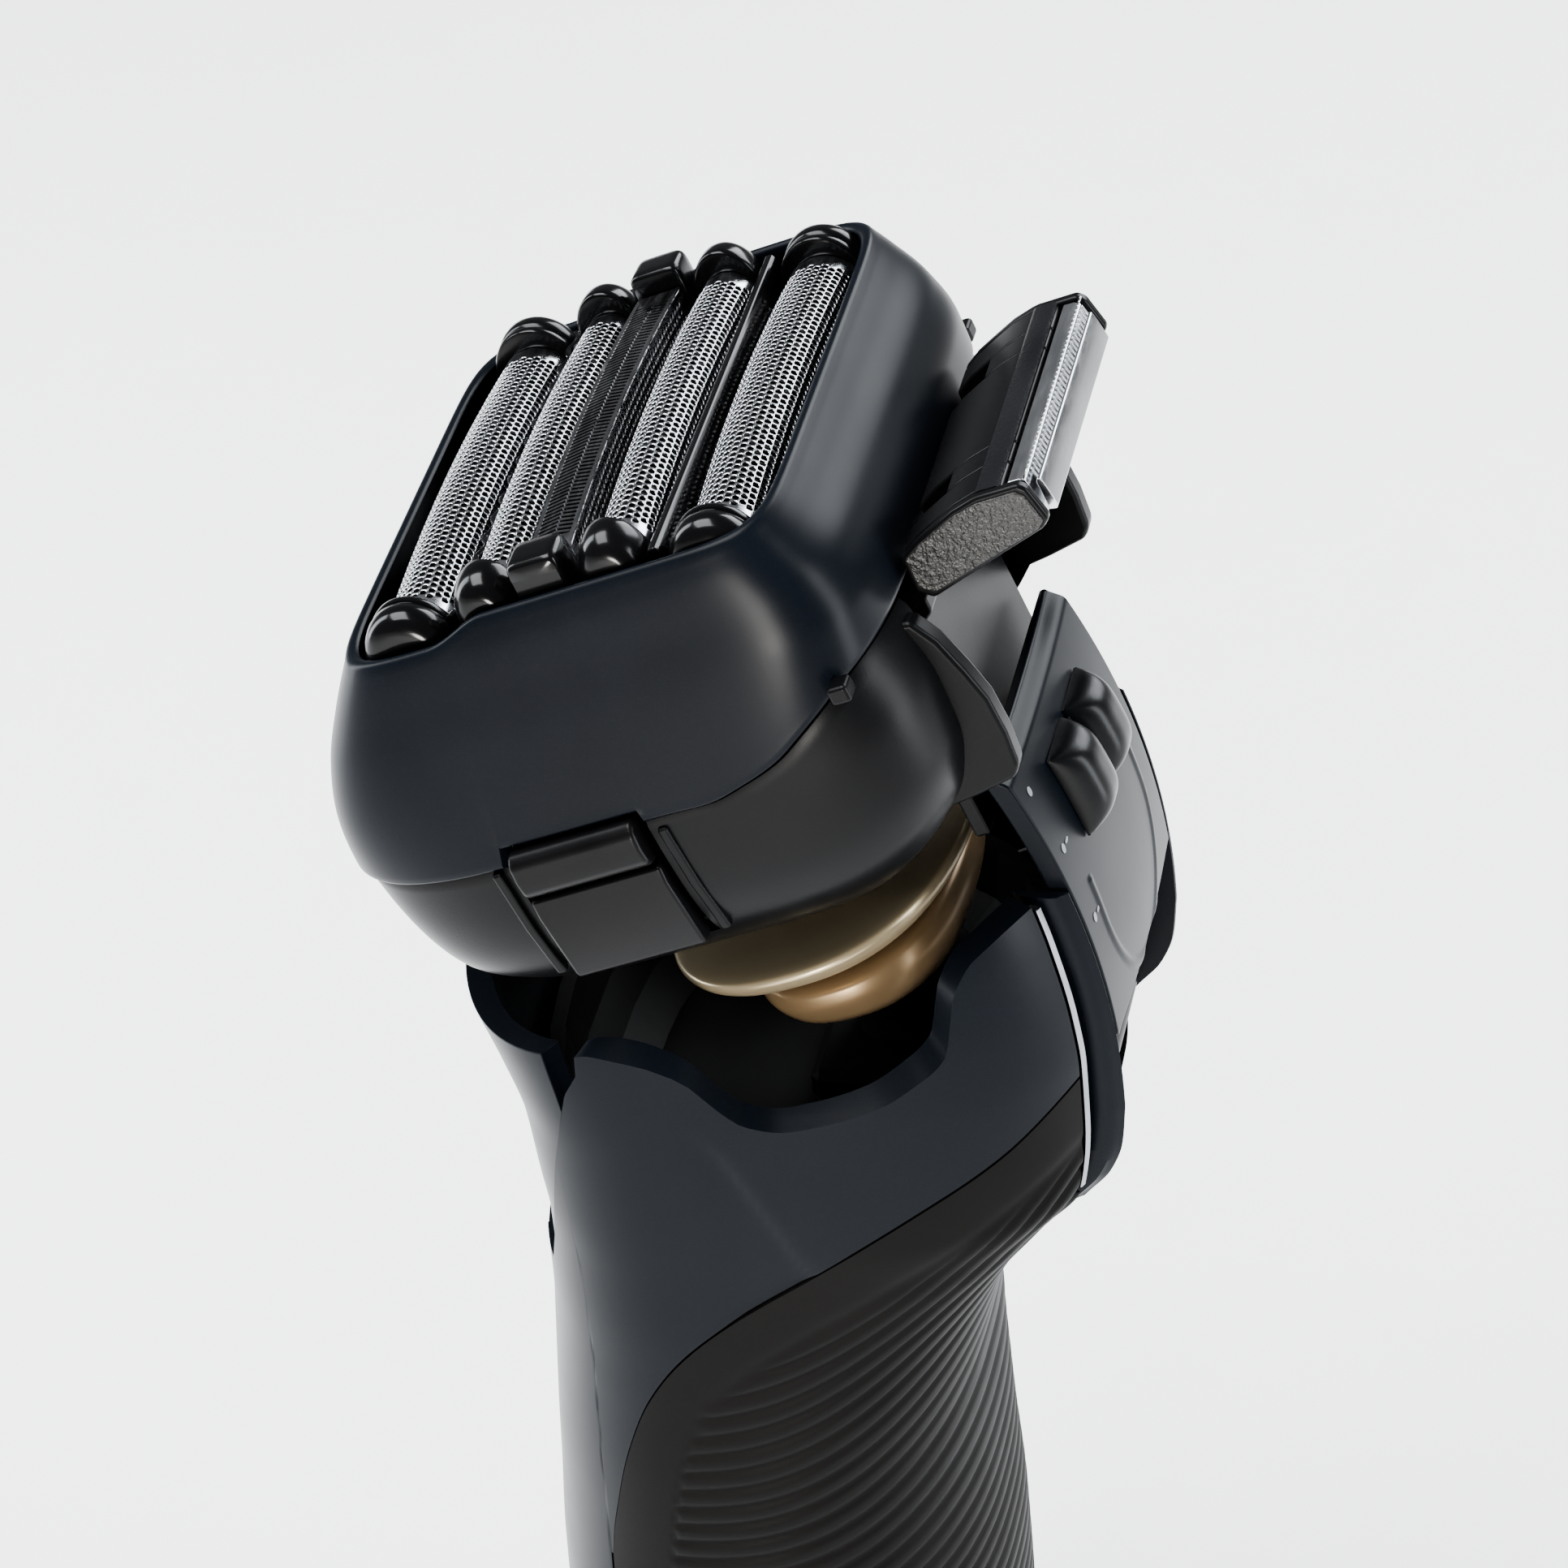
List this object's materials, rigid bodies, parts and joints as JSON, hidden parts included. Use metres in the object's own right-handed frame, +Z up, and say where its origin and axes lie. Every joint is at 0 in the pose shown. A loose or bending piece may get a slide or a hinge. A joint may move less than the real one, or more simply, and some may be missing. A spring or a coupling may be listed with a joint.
{
  "type": "electric shaver",
  "caption": "Cordless foil shaver with a tilting multi-row foil head, side release buttons, a sliding rear pop-up trimmer and a ribbed rubber grip.",
  "frame": {"origin": "centre of the flat base that the shaver stands on", "axes": "+Z up along the handle, +X along the foils to the right-hand side, +Y to the rear, where the trimmer is"},
  "size_m": [0.0618, 0.0642, 0.1667],
  "materials": {
    "blue_black": "satin blue-black paint",
    "black_plastic": "fine textured black",
    "gloss_black": "polished black",
    "rubber": "soft black",
    "steel": "bright",
    "dark_steel": "dark",
    "motor_metal": "cast",
    "chrome": "polished",
    "gold": "metallic champagne gold",
    "bronze": "metallic bronze",
    "white_plastic": "natural",
    "green_board": "board"
  },
  "bodies": {
    "handle": {"side_shell_left": "blue_black", "side_shell_right": "blue_black", "front_housing": "blue_black", "front_panel": "blue_black", "rear_housing": "blue_black", "rubber_grip": "rubber", "chrome_strip_left": "chrome", "chrome_strip_right": "chrome", "display_window": "gloss_black", "inner_chassis": "black_plastic", "base_cap": "black_plastic", "battery": "green_board", "circuit_board": "green_board", "charging_socket": "black_plastic", "neck_base": "black_plastic", "neck_post": "black_plastic", "well_liner": "rubber"},
    "power_button": {"power_button": "chrome"},
    "neck_float": {"neck_hub": "bronze", "neck_disc": "gold"},
    "pitch_link": {"pitch_rocker": "black_plastic"},
    "roll_link": {"roll_rocker": "black_plastic"},
    "head": {"lower_head_case": "black_plastic", "linear_motor": "motor_metal", "motor_seal": "rubber", "outer_head_shell": "blue_black", "foil_cassette_frame": "gloss_black", "row_divider_bar": "gloss_black", "row_divider_wave": "gloss_black"},
    "release_right": {"release_button_right": "black_plastic"},
    "release_left": {"release_button_left": "black_plastic"},
    "drive_a": {"drive_pin_a": "white_plastic"},
    "drive_b": {"drive_pin_b": "white_plastic"},
    "slider": {"slider_panel": "blue_black", "slider_knob": "black_plastic"},
    "carrier": {"trimmer_carrier": "black_plastic", "trimmer_pin": "steel"},
    "flap": {"trimmer_flap": "black_plastic", "trimmer_fixed_blade": "steel"},
    "moving_blade": {"trimmer_moving_blade": "steel"},
    "row_1": {"outer_foil_1": "steel", "row_1_cap_left": "gloss_black", "row_1_cap_right": "gloss_black"},
    "cutter_1": {"inner_cutter_1": "steel"},
    "row_2": {"outer_foil_2": "steel", "row_2_cap_left": "gloss_black", "row_2_cap_right": "gloss_black"},
    "cutter_2": {"inner_cutter_2": "steel"},
    "row_3": {"slit_comb": "dark_steel", "row_3_cap_left": "gloss_black", "row_3_cap_right": "gloss_black"},
    "cutter_3": {"inner_cutter_3": "steel"},
    "row_4": {"outer_foil_4": "steel", "row_4_cap_left": "gloss_black", "row_4_cap_right": "gloss_black"},
    "cutter_4": {"inner_cutter_4": "steel"},
    "row_5": {"outer_foil_5": "steel", "row_5_cap_left": "gloss_black", "row_5_cap_right": "gloss_black"},
    "cutter_5": {"inner_cutter_5": "steel"}
  },
  "joints": [
    {"name": "power_press", "type": "slide", "parent": "handle", "child": "power_button", "axis": [0, 1, 0], "range_m": [0, 0.0005], "stiffness_N_per_m": 400},
    {"name": "head_float", "type": "slide", "parent": "handle", "child": "neck_float", "axis": [0, -0.342, 0.9397], "range_m": [-0.0015, 0], "stiffness_N_per_m": 1500, "springref_m": 0.0012},
    {"name": "head_pitch", "type": "hinge", "parent": "neck_float", "child": "pitch_link", "pos_m": [0, 0.00883, 0.12234], "axis": [1, 0, 0], "range_deg": [0, 4], "stiffness_Nm_per_rad": 1.2, "springref_deg": -2.86},
    {"name": "head_roll", "type": "hinge", "parent": "pitch_link", "child": "roll_link", "pos_m": [0, 0.00883, 0.12234], "axis": [0, 0.9397, 0.342], "range_deg": [-2, 2], "stiffness_Nm_per_rad": 1.5},
    {"name": "head_turn", "type": "hinge", "parent": "roll_link", "child": "head", "pos_m": [0, 0.00883, 0.12234], "axis": [0, -0.342, 0.9397], "range_deg": [-1.5, 1.5], "stiffness_Nm_per_rad": 1.5},
    {"name": "release_press_right", "type": "slide", "parent": "head", "child": "release_right", "axis": [-1, 0, 0], "range_m": [0, 0.0012], "stiffness_N_per_m": 500},
    {"name": "release_press_left", "type": "slide", "parent": "head", "child": "release_left", "axis": [1, 0, 0], "range_m": [0, 0.0012], "stiffness_N_per_m": 500},
    {"name": "drive_a_stroke", "type": "slide", "parent": "head", "child": "drive_a", "axis": [1, 0, 0], "range_m": [-0.0008, 0.0008], "stiffness_N_per_m": 300},
    {"name": "drive_b_stroke", "type": "slide", "parent": "head", "child": "drive_b", "axis": [1, 0, 0], "range_m": [-0.0008, 0.0008], "stiffness_N_per_m": 300},
    {"name": "row_1_float", "type": "slide", "parent": "head", "child": "row_1", "axis": [0, -0.342, 0.9397], "range_m": [-0.0012, 0], "stiffness_N_per_m": 300, "springref_m": 0.001},
    {"name": "cutter_1_stroke", "type": "slide", "parent": "row_1", "child": "cutter_1", "axis": [1, 0, 0], "range_m": [-0.0008, 0.0008], "stiffness_N_per_m": 300},
    {"name": "row_2_float", "type": "slide", "parent": "head", "child": "row_2", "axis": [0, -0.342, 0.9397], "range_m": [-0.0012, 0], "stiffness_N_per_m": 300, "springref_m": 0.001},
    {"name": "cutter_2_stroke", "type": "slide", "parent": "row_2", "child": "cutter_2", "axis": [1, 0, 0], "range_m": [-0.0008, 0.0008], "stiffness_N_per_m": 300},
    {"name": "row_3_float", "type": "slide", "parent": "head", "child": "row_3", "axis": [0, -0.342, 0.9397], "range_m": [-0.0012, 0], "stiffness_N_per_m": 300, "springref_m": 0.001},
    {"name": "cutter_3_stroke", "type": "slide", "parent": "row_3", "child": "cutter_3", "axis": [1, 0, 0], "range_m": [-0.0008, 0.0008], "stiffness_N_per_m": 300},
    {"name": "row_4_float", "type": "slide", "parent": "head", "child": "row_4", "axis": [0, -0.342, 0.9397], "range_m": [-0.0012, 0], "stiffness_N_per_m": 300, "springref_m": 0.001},
    {"name": "cutter_4_stroke", "type": "slide", "parent": "row_4", "child": "cutter_4", "axis": [1, 0, 0], "range_m": [-0.0008, 0.0008], "stiffness_N_per_m": 300},
    {"name": "row_5_float", "type": "slide", "parent": "head", "child": "row_5", "axis": [0, -0.342, 0.9397], "range_m": [-0.0012, 0], "stiffness_N_per_m": 300, "springref_m": 0.001},
    {"name": "cutter_5_stroke", "type": "slide", "parent": "row_5", "child": "cutter_5", "axis": [1, 0, 0], "range_m": [-0.0008, 0.0008], "stiffness_N_per_m": 300},
    {"name": "slider_travel", "type": "hinge", "parent": "handle", "child": "slider", "pos_m": [0, -0.0277, 0.105], "axis": [1, 0, 0], "range_deg": [-14, 0]},
    {"name": "carrier_travel", "type": "slide", "parent": "handle", "child": "carrier", "axis": [0, -0.342, 0.9397], "range_m": [-0.0165, 0]},
    {"name": "flap_tilt", "type": "hinge", "parent": "carrier", "child": "flap", "pos_m": [0, 0.02401, 0.15724], "axis": [1, 0, 0], "range_deg": [0, 76]},
    {"name": "trimmer_stroke", "type": "slide", "parent": "flap", "child": "moving_blade", "axis": [1, 0, 0], "range_m": [-0.0008, 0.0008], "stiffness_N_per_m": 150}
  ],
  "couplings": [
    {"joint": "carrier_travel", "follows": "slider_travel", "m_per_rad": 0.065481},
    {"joint": "flap_tilt", "follows": "slider_travel", "ratio": -5.3571},
    {"joint": "drive_b_stroke", "follows": "drive_a_stroke", "ratio": -1},
    {"joint": "cutter_1_stroke", "follows": "drive_a_stroke", "ratio": 1},
    {"joint": "cutter_2_stroke", "follows": "drive_a_stroke", "ratio": -1},
    {"joint": "cutter_3_stroke", "follows": "drive_a_stroke", "ratio": 1},
    {"joint": "cutter_4_stroke", "follows": "drive_a_stroke", "ratio": -1},
    {"joint": "cutter_5_stroke", "follows": "drive_a_stroke", "ratio": 1}
  ]
}
